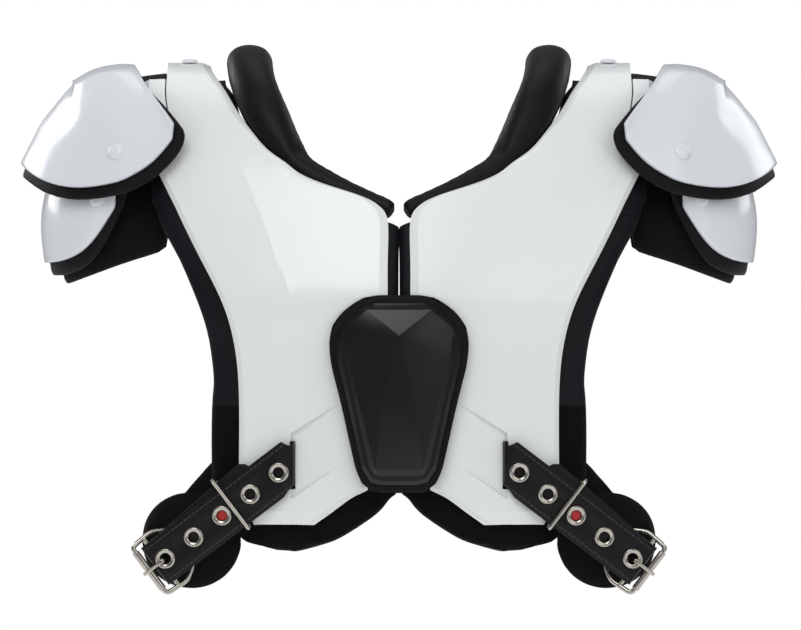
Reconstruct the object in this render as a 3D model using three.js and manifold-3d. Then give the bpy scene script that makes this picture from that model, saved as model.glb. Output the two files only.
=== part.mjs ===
// Football shoulder pad for a youth player. Millimetres, +Z up, the chest faces -Y.
// Each piece is worked out for the +X side and mirrored for the other.
import * as THREE from 'three';
import { ConvexGeometry } from 'three/addons/geometries/ConvexGeometry.js';
import { mergeVertices } from 'three/addons/utils/BufferGeometryUtils.js';
import Module from 'manifold-3d';

// Driving dimensions
const HALF_WIDTH = 230;         // from the middle to the tip of a cap
const BODY_HEIGHT = 296;        // from the top of the arch to the liner's lower edge
const ARCH_TOP = 18;            // height of the arch over the seat on the shoulders
const CHEST_DEPTH = 124;        // from the arch to the fullest point of the chest
const ARCH_DROP = 208;          // height of the quarter ellipse that the chest follows
const CREASE_SHARE = 0.487;     // where the chest's level crease lies, down the body
const TUCK = 0.03;              // how far the chest draws in for each millimetre below it
const WRAP = 0.27;              // share of the depth that is lost at WRAP_WIDTH
const WRAP_WIDTH = 140;
const SEAM = 0.4;               // clearance between pieces that meet
const PLATE = 2.5;              // wall of the white shells
const BEVEL = 5;                // width of the plate's bevelled rim
const BEVEL_DROP = 2.3;         // how far that rim falls
const LINER = 12;               // foam behind the plates
const LINER_SINK = PLATE + BEVEL_DROP + 0.6;
const ROLL_WIDTH = 37;          // neck roll at the top of the shoulder
const ROLL_THICK = 24;
const CAP_HALF_DEPTH = 76;      // from the middle to the front edge of a cap
const CAP_PAD = 6;              // foam under the cap
const CAP_PAD_LIP = 5;          // how far that foam shows under the cap's edge
const CUP_PAD = 6;
const CUP_PAD_LIP = 6;
const DELTOID_PAD = 9;
const STERNUM_WIDTH = 85;
const STERNUM_HEIGHT = 120;
const STERNUM_RISE = 9;         // how far its ridge stands over its rim
const STERNUM_WALL = 3;
const STERNUM_PAD = 4;
const BELT_WIDTH = 28;
const BELT = 1.9;               // one layer of belt
const BELT_ANGLE = 37.3;        // degrees below level
const EYELET_PITCH = 21.8;
const EYELET_OUTER = 12.6;
const EYELET_BORE = 6.6;
const EYELET_RISE = 1;
const WIRE = 3;                 // buckle and keeper wire
const FRAME_WIDTH = 35;
const FRAME_FRONT = 9.4;        // from the middle bar to the roller's bar
const FRAME_REAR = 15;          // from the middle bar to the bar under the belt
const ROLLER = 4.4;
const PRONG = 2.2;
const GUARD_RADIUS = 29;
const GUARD = 9;
const RIVET_RADIUS = 5;
const RIVET_RISE = 2;

const CREASE_Z = ARCH_TOP - CREASE_SHARE * BODY_HEIGHT;
const wasm = await Module();
wasm.setup();

const WHITE = { color: 0xe9ecec, roughness: 0.25, metalness: 0 };
const FOAM = { color: 0x15151b, roughness: 0.75, metalness: 0 };
const BLACK = { color: 0x101014, roughness: 0.4, metalness: 0 };
const NICKEL = { color: 0xb9b4ac, roughness: 0.25, metalness: 1 };
const RED = { color: 0xc01515, roughness: 0.5, metalness: 0 };

const group = new THREE.Group();
const right = new THREE.Group();
const left = new THREE.Group();
left.scale.x = -1;
group.add(right, left);

// Shares of the driving sizes, and back
const across = (share) => share * HALF_WIDTH;
const down = (share) => ARCH_TOP - share * BODY_HEIGHT;

// Reads one column of a table at a place between its rows
function readTable(table, key, column, at) {
  const rows = table.filter((row) => row[column] !== undefined);
  if (at <= rows[0][key]) return rows[0][column];
  for (let i = 1; i < rows.length; i += 1) {
    const [a, b] = [rows[i - 1], rows[i]];
    if (at <= b[key]) {
      return THREE.MathUtils.lerp(a[column], b[column], (at - a[key]) / (b[key] - a[key]));
    }
  }
  return rows[rows.length - 1][column];
}

// The chest's depth at a point of the front view
function chestDepth(x, z) {
  const wrap = 1 - WRAP * (x / WRAP_WIDTH) ** 2;
  const rise = Math.min(1, (Math.max(z, CREASE_Z) - ARCH_TOP + ARCH_DROP) / ARCH_DROP);
  const tuck = TUCK * Math.max(0, CREASE_Z - z);
  return (CHEST_DEPTH * Math.sqrt(1 - rise * rise) - tuck) * wrap;
}

// side is -1 on the chest and 1 on the back
const bodyPoint = (x, z, side) => new THREE.Vector3(x, side * chestDepth(x, z), z);

// A sheet of four-sided cells; skip(row, column) leaves a cell out
function gridSheet(rows, skip = () => false) {
  const points = rows.flat();
  const width = rows[0].length;
  const faces = [];
  for (let i = 0; i + 1 < rows.length; i += 1) {
    for (let j = 0; j + 1 < width; j += 1) {
      if (skip(i, j)) continue;
      const a = i * width + j;
      faces.push([a, a + width, a + width + 1], [a, a + width + 1, a + 1]);
    }
  }
  return { points, faces };
}

// Joins points that coincide and drops faces that shrink to a line
function weld(sheet) {
  const seen = new Map();
  const points = [];
  const index = sheet.points.map((p) => {
    const key = [p.x, p.y, p.z].map((v) => Math.round(v * 500)).join();
    if (!seen.has(key)) {
      seen.set(key, points.length);
      points.push(p.clone());
    }
    return seen.get(key);
  });
  const faces = sheet.faces
    .map((face) => face.map((i) => index[i]))
    .filter(([a, b, c]) => a !== b && b !== c && c !== a);
  const used = [...new Set(faces.flat())];
  const place = new Map(used.map((old, i) => [old, i]));
  return { points: used.map((i) => points[i]), faces: faces.map((f) => f.map((i) => place.get(i))) };
}

function sheetNormals({ points, faces }) {
  const normals = points.map(() => new THREE.Vector3());
  for (const face of faces) {
    const [a, b, c] = face.map((i) => points[i]);
    const n = b.clone().sub(a).cross(c.clone().sub(a)).normalize();
    face.forEach((i, k) => {
      const to = points[face[(k + 1) % 3]].clone().sub(points[i]);
      const from = points[face[(k + 2) % 3]].clone().sub(points[i]);
      normals[i].addScaledVector(n, to.angleTo(from));
    });
  }
  return normals.map((n) => n.normalize());
}

const flipped = ({ points, faces }) => ({ points, faces: faces.map(([a, b, c]) => [a, c, b]) });

// Which edges have a face on one side only
function openEdges(faces) {
  const count = new Map();
  for (const face of faces) {
    face.forEach((a, k) => {
      const b = face[(k + 1) % 3];
      count.set(`${a},${b}`, [a, b]);
    });
  }
  return [...count.values()].filter(([a, b]) => !count.has(`${b},${a}`));
}

// Gives an open sheet a wall behind it. sink moves it in first, and edge is the share of
// the wall that is left at its rim. level keeps the rim at the top of the arch square.
function shell(sheetIn, { wall, sink = 0, edge = 1, level = true }) {
  const sheet = weld(sheetIn);
  const normals = sheetNormals(sheet);
  if (level) {
    sheet.points.forEach((p, i) => {
      if (Math.abs(p.y) > SEAM) return;
      normals[i].y = 0;
      normals[i].normalize();
    });
  }
  const rim = new Set(openEdges(sheet.faces).flat());
  const drop = (p) => (typeof sink === 'function' ? sink(p) : sink);
  const outer = sheet.points.map((p, i) => {
    const soft = rim.has(i) ? wall * (1 - edge) / 2 : 0;
    return p.clone().addScaledVector(normals[i], -drop(p) - soft);
  });
  const inner = sheet.points.map((p, i) => {
    const soft = rim.has(i) ? wall * (1 - edge) / 2 : 0;
    return p.clone().addScaledVector(normals[i], -drop(p) - wall + soft);
  });
  const n = outer.length;
  const faces = [...sheet.faces, ...sheet.faces.map(([a, b, c]) => [a + n, c + n, b + n])];
  for (const [a, b] of openEdges(sheet.faces)) {
    faces.push([b, a, a + n], [b, a + n, b + n]);
  }
  return toGeometry({ points: [...outer, ...inner], faces });
}

function toGeometry({ points, faces }) {
  const geometry = new THREE.BufferGeometry();
  geometry.setAttribute('position', new THREE.Float32BufferAttribute(points.flatMap((p) => p.toArray()), 3));
  geometry.setIndex(faces.flat());
  return geometry;
}

// A closed body from rings of points, with flat ends unless it is a loop
function loft(rings, loop = false) {
  const sides = rings[0].length;
  const points = rings.flat();
  const faces = [];
  const last = loop ? rings.length : rings.length - 1;
  for (let i = 0; i < last; i += 1) {
    const next = (i + 1) % rings.length;
    for (let j = 0; j < sides; j += 1) {
      const k = (j + 1) % sides;
      const [a, b, c, d] = [i * sides + j, i * sides + k, next * sides + k, next * sides + j];
      faces.push([a, b, c], [a, c, d]);
    }
  }
  if (!loop) {
    for (let j = 1; j + 1 < sides; j += 1) {
      const end = (rings.length - 1) * sides;
      faces.push([0, j + 1, j], [end, end + j, end + j + 1]);
    }
  }
  return toGeometry({ points, faces });
}

// Turns a body right way out if its faces point in
function outward(geometry) {
  const p = geometry.getAttribute('position');
  const index = geometry.getIndex();
  const [a, b, c] = [new THREE.Vector3(), new THREE.Vector3(), new THREE.Vector3()];
  let volume = 0;
  for (let i = 0; i < index.count; i += 3) {
    a.fromBufferAttribute(p, index.getX(i));
    b.fromBufferAttribute(p, index.getX(i + 1));
    c.fromBufferAttribute(p, index.getX(i + 2));
    volume += a.dot(b.cross(c));
  }
  if (volume < 0) {
    const turned = [...index.array];
    for (let i = 0; i < turned.length; i += 3) {
      [turned[i + 1], turned[i + 2]] = [turned[i + 2], turned[i + 1]];
    }
    geometry.setIndex(turned);
  }
  return geometry;
}

function toSolid(geometry) {
  const plain = geometry.clone();
  plain.deleteAttribute('normal');
  plain.deleteAttribute('uv');
  const merged = mergeVertices(plain, 1e-4);
  return new wasm.Manifold(new wasm.Mesh({
    numProp: 3,
    vertProperties: new Float32Array(merged.getAttribute('position').array),
    triVerts: new Uint32Array(merged.getIndex().array),
  }));
}

function fromSolid(solid) {
  const mesh = solid.getMesh();
  const geometry = new THREE.BufferGeometry();
  geometry.setAttribute('position', new THREE.BufferAttribute(new Float32Array(mesh.vertProperties), 3));
  geometry.setIndex([...mesh.triVerts]);
  return geometry;
}

function addMesh(parent, name, geometry, look) {
  const mesh = new THREE.Mesh(outward(geometry), new THREE.MeshStandardMaterial(look));
  mesh.name = name;
  parent.add(mesh);
  return mesh;
}

// One piece on each side; place is the matrix of the piece's own frame
function addPair(name, geometry, look, place = new THREE.Matrix4()) {
  for (const [side, parent] of [['right', right], ['left', left]]) {
    const mesh = addMesh(parent, `${name}_${side}`, geometry.clone(), look);
    mesh.applyMatrix4(place);
  }
}

// Chest plate: down is the share of the body's height, the others are shares of its half width.
// arch is the arch's outer edge, and wing the edge of the lower part beside it.
const plateRows = [
  { down: 0.000, inner: 0.501, arch: 0.615, wing: 0.678 },
  { down: 0.012, inner: 0.496, arch: 0.615, wing: 0.678 },
  { down: 0.035, inner: 0.478, arch: 0.617, wing: 0.678 },
  { down: 0.062, inner: 0.456, arch: 0.618, wing: 0.681 },
  { down: 0.100, inner: 0.428, arch: 0.612, wing: 0.683 },
  { down: 0.140, inner: 0.391, arch: 0.600, wing: 0.683 },
  { down: 0.179, inner: 0.348, arch: 0.585, wing: 0.678 },
  { down: 0.205, inner: 0.301, arch: 0.572, wing: 0.660 },
  { down: 0.228, inner: 0.264, arch: 0.555, wing: 0.641 },
  { down: 0.252, inner: 0.190, arch: 0.541, wing: 0.625 },
  { down: 0.276, inner: 0.096, arch: 0.527, wing: 0.610 },
  { down: 0.296, inner: 0.053, arch: 0.515, wing: 0.597 },
  { down: 0.326, inner: 0.030, arch: 0.498, wing: 0.579 },
  { down: 0.400, inner: 0.030, arch: 0.455, wing: 0.532 },
  { down: 0.487, inner: 0.030, arch: 0.400, wing: 0.475 },
  { down: 0.565, inner: 0.030, arch: 0.378, wing: 0.443 },
  { down: 0.657, inner: 0.030, arch: 0.366, wing: 0.427 },
  { down: 0.780, inner: 0.030, arch: 0.362, wing: 0.425 },
  { down: 0.846, inner: 0.030, arch: 0.360, wing: 0.425 },
  { down: 0.879, inner: 0.079, arch: 0.357, wing: 0.420 },
  { down: 0.895, inner: 0.121, arch: 0.354, wing: 0.414 },
  { down: 0.925, inner: 0.175, arch: 0.350, wing: 0.403 },
  { down: 0.952, inner: 0.225, arch: 0.340, wing: 0.386 },
];
const SLIT_END = 0.140;      // how far down the slit between arch and wing runs
const WING_TOP = 0.035;      // where the wing starts
const SLOT_TOP = 0.780;      // the belt's slot, as shares of the body's height
const SLOT_END = 0.879;
const SLOT_PLACE = 0.272;    // its inner edge, as a share of the half width
const SLOT = 4;              // its width
const SLIT = 1.2;
const slotLine = [
  { down: 0.000, share: 0.540 },
  { down: 0.228, share: 0.400 },
  { down: 0.487, share: 0.272 },
  { down: SLOT_TOP, share: SLOT_PLACE },
];
const OVERLAP_DOWN = 0.006;  // how far the arch runs on past its top
const TONGUE_ROWS = 0.035;   // how much of the back plate goes under the chest plate's arch

function plateRow(row, side, over, withSlot) {
  const z = down(row.down);
  const inner = across(row.inner);
  const outer = across(row.wing);
  const slot = across(readTable(slotLine, 'down', 'share', row.down));
  const arch = across(row.arch);
  const slit = arch + (row.down <= SLIT_END ? SLIT : SLIT * 3);
  const between = (a, b) => (a + b) / 2;
  const xs = [inner, inner + BEVEL, between(inner + BEVEL, slot), slot, slot + SLOT,
    between(slot + SLOT, arch), arch, slit, outer - BEVEL * 0.7, outer];
  const used = withSlot ? xs : xs.filter((x, j) => j !== 2 && j !== 4);
  return used.map((x) => {
    const p = bodyPoint(x, z, over ? -side : side);
    if (!over && row.down === 0) p.y = 0;
    return p;
  });
}

// Lets the rim of a plate fall by the bevel
function bevelled(rows, columns, side) {
  const sheet = weld(gridSheet(rows));
  const normals = sheetNormals(sheet).map((n) => n.multiplyScalar(-side));
  const normalAt = (p) => normals[sheet.points.findIndex((q) => q.distanceTo(p) < 0.01)];
  rows.forEach((row, i) => row.forEach((p, j) => {
    const lastRow = i === rows.length - 1;
    if (!columns.includes(j) && !lastRow) return;
    row[j] = p.clone().addScaledVector(normalAt(p), -BEVEL_DROP);
  }));
  return rows;
}

function chestPlate() {
  const above = { ...plateRows[0], down: OVERLAP_DOWN };
  const rows = [plateRow(above, -1, true, true), ...plateRows.map((row) => plateRow(row, -1, false, true))];
  const last = rows[0].length - 1;
  const shares = [-1, ...plateRows.map((row) => row.down)];
  const skip = (i, j) => (
    (shares[i] < WING_TOP && j >= 6)
    || (shares[i] < SLIT_END && j === 6)
    || (shares[i] >= SLOT_TOP && shares[i] < SLOT_END && j === 3)
  );
  const sheet = gridSheet(bevelled(rows, [0, last], -1), skip);
  return shell(sheet, { wall: PLATE });
}

// The back plate is plain, with fewer rows; its tongue lies under the chest plate's arch
function backPlate() {
  const kept = plateRows.filter((row, i) => i < 9 || i % 2 === 0 || i > 20);
  const above = { ...plateRows[0], down: OVERLAP_DOWN };
  const rows = [plateRow(above, 1, true, false), ...kept.map((row) => plateRow(row, 1, false, false))];
  const shares = [-1, ...kept.map((row) => row.down)];
  const last = rows[0].length - 1;
  const skip = (i, j) => (shares[i] < WING_TOP && j >= 4) || (shares[i] < SLIT_END && j === 4);
  const tongue = PLATE + SEAM;
  const under = down(TONGUE_ROWS);
  const sink = (p) => (p.z > under + BEVEL_DROP ? tongue + BEVEL_DROP : 0);
  const sheet = flipped(gridSheet(bevelled(rows, [0, last], 1), skip));
  return shell(sheet, { wall: PLATE, sink });
}

// Liner: the foam's outline in the same shares
const linerRows = [
  { down: 0.000, inner: 0.463, outer: 0.642 },
  { down: 0.020, inner: 0.460, outer: 0.644 },
  { down: 0.055, inner: 0.440, outer: 0.647 },
  { down: 0.123, inner: 0.424, outer: 0.650 },
  { down: 0.175, inner: 0.394, outer: 0.660 },
  { down: 0.221, inner: 0.354, outer: 0.665 },
  { down: 0.274, inner: 0.241, outer: 0.667 },
  { down: 0.289, inner: 0.166, outer: 0.659 },
  { down: 0.305, inner: 0.104, outer: 0.650 },
  { down: 0.318, inner: 0.056, outer: 0.644 },
  { down: 0.332, inner: 0.005, outer: 0.637 },
  { down: 0.376, inner: 0.005, outer: 0.610 },
  { down: 0.487, inner: 0.005, outer: 0.541 },
  { down: 0.575, inner: 0.005, outer: 0.513 },
  { down: 0.657, inner: 0.005, outer: 0.500 },
  { down: 0.713, inner: 0.005, outer: 0.505 },
  { down: 0.862, inner: 0.005, outer: 0.505 },
  { down: 0.893, inner: 0.021, outer: 0.493 },
  { down: 0.918, inner: 0.047, outer: 0.475 },
  { down: 0.945, inner: 0.092, outer: 0.455 },
  { down: 0.975, inner: 0.158, outer: 0.430 },
  { down: 0.991, inner: 0.209, outer: 0.400 },
  { down: 1.000, inner: 0.277, outer: 0.347 },
];

function liner(side) {
  const columns = [0, 0.16, 0.84, 1];
  const rows = linerRows.map((row) => {
    const z = down(row.down);
    return columns.map((share) => {
      const x = across(THREE.MathUtils.lerp(row.inner, row.outer, share));
      const p = bodyPoint(x, z, side);
      if (row.down === 0) p.y = side * SEAM / 2;
      return p;
    });
  });
  const sheet = side < 0 ? gridSheet(rows) : flipped(gridSheet(rows));
  const tongueRoom = PLATE + SEAM;
  const sink = (p) => LINER_SINK + (p.z > down(0.05) ? tongueRoom : 0);
  return shell(sheet, { wall: LINER, sink, edge: 0.55 });
}

// Neck roll: x and down are the shares of its inner line in the front view, half the share of
// ROLL_WIDTH / 2, thick of ROLL_THICK / 2, and lean the way it lies from that line
const rollRows = [
  { x: 0.338, down: 0.000, half: 0.80, thick: 1.00, lean: 0, sink: -0.5 },
  { x: 0.330, down: 0.026, half: 0.80, thick: 0.98, lean: -14, sink: 0.5 },
  { x: 0.298, down: 0.070, half: 0.82, thick: 0.92, lean: -24, sink: 3.5 },
  { x: 0.270, down: 0.107, half: 0.80, thick: 0.78, lean: -30, sink: 7.5 },
  { x: 0.236, down: 0.150, half: 0.79, thick: 0.62, lean: -37, sink: 11.5 },
  { x: 0.204, down: 0.180, half: 0.75, thick: 0.58, lean: -44, sink: 12.5 },
  { x: 0.155, down: 0.208, half: 0.64, thick: 0.54, lean: -51, sink: 12.5 },
  { x: 0.107, down: 0.234, half: 0.52, thick: 0.50, lean: -54, sink: 12 },
  { x: 0.052, down: 0.262, half: 0.40, thick: 0.46, lean: -54, sink: 11.5 },
  { x: 0.004, down: 0.288, half: 0.32, thick: 0.44, lean: -52, sink: 11 },
];
const ROLL_SIDES = 10;

function neckRoll() {
  const station = (row, side) => {
    const lean = THREE.MathUtils.degToRad(row.lean);
    const out = new THREE.Vector3(Math.cos(lean), 0, Math.sin(lean));
    const half = row.half * ROLL_WIDTH / 2;
    const centre = new THREE.Vector3(across(row.x), 0, down(row.down)).addScaledVector(out, half);
    const deep = Math.min(centre.z, ARCH_TOP - 0.02);
    const near = bodyPoint(centre.x, deep, side);
    const lower = bodyPoint(centre.x, deep - 0.5, side);
    const along = lower.sub(near).normalize();
    const normal = new THREE.Vector3(0, -along.z * side, along.y * side);
    if (row.down === 0) normal.set(0, 0, 1);
    normal.normalize();
    centre.y = row.down === 0 ? 0 : near.y;
    centre.addScaledVector(normal, -row.sink);
    return { centre, out, normal, half, thick: row.thick * ROLL_THICK / 2 };
  };
  const front = rollRows.slice(1).reverse().map((row) => station(row, -1));
  const rear = rollRows.slice(1).map((row) => station(row, 1));
  const stations = [...front, station(rollRows[0], -1), ...rear];
  const rings = stations.map((s, i) => {
    const before = stations[Math.max(0, i - 1)].centre;
    const after = stations[Math.min(stations.length - 1, i + 1)].centre;
    const along = after.clone().sub(before).normalize();
    const wide = s.out.clone().addScaledVector(along, -s.out.dot(along)).normalize();
    const high = along.clone().cross(wide).normalize();
    if (high.dot(s.normal) < 0) high.multiplyScalar(-1);
    const ring = [];
    for (let k = 0; k < ROLL_SIDES; k += 1) {
      const angle = (k / ROLL_SIDES) * Math.PI * 2;
      const p = s.centre.clone()
        .addScaledVector(wide, Math.cos(angle) * s.half)
        .addScaledVector(high, Math.sin(angle) * s.thick);
      p.x = Math.max(p.x, SEAM);
      ring.push(p);
    }
    return ring;
  });
  return loft(rings);
}

// Upper cap: stations from the front edge round to the outermost line. Each runs from a
// spine over the shoulder down to a rim; lengths are shares of HALF_WIDTH, BODY_HEIGHT
// and CAP_HALF_DEPTH, and swell lifts the middle of the station.
const capStations = [
  { spine: 0.705, top: 0.004, shoulder: 0.690, shoulderDown: 0.024, shoulderDeep: 0.42,
    rim: 0.603, rimDown: 0.126, rimDeep: 0.97, swell: 0.020 },
  { spine: 0.718, top: 0.003, shoulder: 0.705, shoulderDown: 0.020, shoulderDeep: 0.42,
    rim: 0.606, rimDown: 0.158, rimDeep: 1.00, swell: 0.022 },
  { spine: 0.757, top: 0.003, shoulder: 0.745, shoulderDown: 0.018, shoulderDeep: 0.42,
    rim: 0.655, rimDown: 0.203, rimDeep: 1.00, swell: 0.026 },
  { spine: 0.815, top: 0.013, shoulder: 0.808, shoulderDown: 0.026, shoulderDeep: 0.38,
    rim: 0.712, rimDown: 0.232, rimDeep: 0.97, swell: 0.028 },
  { spine: 0.868, top: 0.036, shoulder: 0.861, shoulderDown: 0.052, shoulderDeep: 0.30,
    rim: 0.766, rimDown: 0.248, rimDeep: 0.92, swell: 0.020 },
  { spine: 0.868, top: 0.036, shoulder: 0.868, shoulderDown: 0.050, shoulderDeep: 0.16,
    rim: 0.872, rimDown: 0.256, rimDeep: 0.74, swell: 0.016 },
  { spine: 0.868, top: 0.036, shoulder: 0.871, shoulderDown: 0.048, shoulderDeep: 0.08,
    rim: 0.962, rimDown: 0.236, rimDeep: 0.42, swell: 0.014 },
  { spine: 0.868, top: 0.036, shoulder: 0.872, shoulderDown: 0.046, shoulderDeep: 0.00,
    rim: 1.008, rimDown: 0.208, rimDeep: 0.00, swell: 0.012 },
];
const CAP_STEPS = 4;

// One side of a cap's stations as a sheet; reach runs on past the rim
function capSheet(reach) {
  const station = (s, side) => {
    const spine = new THREE.Vector3(across(s.spine), 0, down(s.top));
    const deep = side * CAP_HALF_DEPTH;
    const shoulder = new THREE.Vector3(across(s.shoulder), deep * s.shoulderDeep, down(s.shoulderDown));
    const rim = new THREE.Vector3(across(s.rim), deep * s.rimDeep, down(s.rimDown));
    const row = [spine, shoulder];
    const fall = rim.clone().sub(shoulder);
    const out = new THREE.Vector3(0.5, side * 0.6 * (s.rimDeep > 0 ? 1 : 0), 0.6).normalize();
    for (let k = 1; k < CAP_STEPS; k += 1) {
      const t = k / (CAP_STEPS - 1);
      const bulge = Math.sin(Math.PI * t) * s.swell * HALF_WIDTH;
      row.push(shoulder.clone().addScaledVector(fall, t).addScaledVector(out, bulge));
    }
    const tail = row[row.length - 1].clone().sub(row[row.length - 2]).normalize();
    row[row.length - 1].addScaledVector(tail, reach);
    return row;
  };
  const front = capStations.map((s) => station(s, -1));
  const rear = capStations.slice(0, -1).reverse().map((s) => station(s, 1));
  return gridSheet([...front, ...rear]);
}

// Lower cup: rings down the cup, as a barrel round the upper arm
const cupRows = [
  { down: 0.041, wide: 0.040, deep: 0.10, centre: 0.730 },
  { down: 0.061, wide: 0.084, deep: 0.22, centre: 0.730 },
  { down: 0.105, wide: 0.120, deep: 0.36, centre: 0.730 },
  { down: 0.160, wide: 0.158, deep: 0.50, centre: 0.732 },
  { down: 0.230, wide: 0.194, deep: 0.64, centre: 0.734 },
  { down: 0.320, wide: 0.219, deep: 0.76, centre: 0.735 },
  { down: 0.412, wide: 0.210, deep: 0.77, centre: 0.735 },
];
const CUP_TURNS = 10;
const CUP_SPREAD = 84;        // how far round its front edge lies from the outermost line
const CUP_LIFT = 0.145;       // how much its rim rises towards the front edge

// lip widens the sheet at its rim and edges, for the pad under it
function cupSheet(lip) {
  const lowest = cupRows[cupRows.length - 1].down;
  const rows = cupRows.map((row) => {
    const ring = [];
    const spread = CUP_SPREAD + THREE.MathUtils.radToDeg(lip / CAP_HALF_DEPTH);
    for (let k = 0; k <= CUP_TURNS; k += 1) {
      const angle = THREE.MathUtils.degToRad(spread * (1 - (2 * k) / CUP_TURNS));
      const lift = CUP_LIFT * (1 - Math.cos(angle)) ** 2.4 * (row.down / lowest) ** 2;
      const low = row.down === lowest ? lip : 0;
      ring.push(new THREE.Vector3(
        across(row.centre + row.wide * Math.cos(angle)),
        CAP_HALF_DEPTH * row.deep * -Math.sin(angle),
        down(row.down - lift) - low,
      ));
    }
    return ring;
  });
  return gridSheet(rows);
}

// Deltoid pad: the deepest layer, from the body liner's edge over the upper arm
const deltoidRows = [
  { down: 0.080, centre: 0.665, wide: 0.030, deep: 0.14 },
  { down: 0.110, centre: 0.660, wide: 0.090, deep: 0.22 },
  { down: 0.165, centre: 0.650, wide: 0.178, deep: 0.35 },
  { down: 0.240, centre: 0.640, wide: 0.242, deep: 0.48 },
  { down: 0.330, centre: 0.640, wide: 0.270, deep: 0.58 },
  { down: 0.448, centre: 0.630, wide: 0.270, deep: 0.58 },
];
const DELTOID_TURNS = 8;
const DELTOID_LIFT = 0.070;

function deltoidPad() {
  const lowest = deltoidRows[deltoidRows.length - 1].down;
  const rows = deltoidRows.map((row) => {
    const ring = [];
    for (let k = 0; k <= DELTOID_TURNS; k += 1) {
      const angle = Math.PI / 2 * (1 - (2 * k) / DELTOID_TURNS);
      const lift = DELTOID_LIFT * (1 - Math.cos(angle)) * (row.down / lowest) ** 2;
      ring.push(new THREE.Vector3(
        across(row.centre + row.wide * Math.cos(angle)),
        CAP_HALF_DEPTH * row.deep * -Math.sin(angle),
        down(row.down - lift),
      ));
    }
    return ring;
  });
  return shell(gridSheet(rows), { wall: DELTOID_PAD, edge: 0.6, level: false });
}

// Breastbone plate: its outline, as shares of half its width and of its height from the top,
// with lift as a share of its rise
const sternumTop = down(0.4815);
const sternumOutline = [
  { x: 0.00, y: 0.000 }, { x: 0.40, y: 0.000 }, { x: 0.62, y: 0.030 }, { x: 0.90, y: 0.115 },
  { x: 1.00, y: 0.200 }, { x: 0.985, y: 0.330 }, { x: 0.82, y: 0.560 }, { x: 0.69, y: 0.770 },
  { x: 0.60, y: 0.910 }, { x: 0.46, y: 0.985 }, { x: 0.30, y: 1.000 }, { x: 0.00, y: 1.000 },
];
const STERNUM_RIM = 5;          // width of the soft rim that shows round the hard plate
const sternumFacets = [
  { x: 0.00, y: 0.205, lift: 1.00 }, { x: 0.46, y: 0.075, lift: 0.45 },
  { x: 0.78, y: 0.175, lift: 0.35 }, { x: 0.72, y: 0.330, lift: 0.50 },
  { x: 0.24, y: 0.560, lift: 0.95 }, { x: 0.34, y: 0.880, lift: 0.70 },
];

const sternumPoint = (x, y, out) => {
  const at = new THREE.Vector3(x * STERNUM_WIDTH / 2, 0, sternumTop - y * STERNUM_HEIGHT);
  at.y = -chestDepth(0, CREASE_Z) - out;
  return at;
};

function sternumRing(inset, out) {
  const half = sternumOutline.map(({ x, y }) => {
    const shareX = 1 - (2 * inset) / STERNUM_WIDTH;
    const shareY = 1 - (2 * inset) / STERNUM_HEIGHT;
    return sternumPoint(x * shareX, 0.5 + (y - 0.5) * shareY, out);
  });
  const mirrored = half.slice(1, -1).reverse().map((p) => new THREE.Vector3(-p.x, p.y, p.z));
  return [...half, ...mirrored];
}

function sternumPad() {
  const back = SEAM;
  const rings = [sternumRing(2, back), sternumRing(0, back + 1), sternumRing(0, back + STERNUM_PAD - 1),
    sternumRing(2, back + STERNUM_PAD)];
  return loft(rings);
}

function sternumPlate() {
  const base = STERNUM_PAD + 2 * SEAM;
  const rings = [sternumRing(STERNUM_RIM, base), sternumRing(STERNUM_RIM, base + STERNUM_WALL),
    sternumRing(STERNUM_RIM + 2.5, base + STERNUM_WALL + STERNUM_RISE * 0.25)];
  const body = toSolid(outward(loft(rings)));
  // The crown over it spans its facet corners and the rim
  const crown = [];
  for (const side of [-1, 1]) {
    for (const f of sternumFacets) {
      crown.push(sternumPoint(side * f.x, f.y, base + STERNUM_WALL + STERNUM_RISE * f.lift));
    }
  }
  const foot = sternumRing(STERNUM_RIM + 3, base + STERNUM_WALL);
  return fromSolid(body.add(toSolid(new ConvexGeometry([...crown, ...foot]))));
}

// Rivet heads: low domes turned to stand on a surface point
function rivetHead() {
  const profile = [
    new THREE.Vector2(0, 0), new THREE.Vector2(RIVET_RADIUS, 0),
    new THREE.Vector2(RIVET_RADIUS, RIVET_RISE * 0.3),
    new THREE.Vector2(RIVET_RADIUS * 0.7, RIVET_RISE * 0.85), new THREE.Vector2(0, RIVET_RISE),
  ];
  return new THREE.LatheGeometry(profile, 8).rotateX(Math.PI / 2);
}

// A matrix that carries the Z axis to normal and the origin to point
function standing(point, normal) {
  const turn = new THREE.Quaternion().setFromUnitVectors(new THREE.Vector3(0, 0, 1), normal);
  return new THREE.Matrix4().compose(point, turn, new THREE.Vector3(1, 1, 1));
}

// Where a line along Y from the front first meets a piece, and which way that face looks
function frontHit(geometry, x, z) {
  const mesh = new THREE.Mesh(geometry, new THREE.MeshBasicMaterial({ side: THREE.DoubleSide }));
  const ray = new THREE.Raycaster(new THREE.Vector3(x, -HALF_WIDTH * 2, z), new THREE.Vector3(0, 1, 0));
  const [hit] = ray.intersectObject(mesh);
  return { point: hit.point, normal: hit.face.normal.clone() };
}

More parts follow.
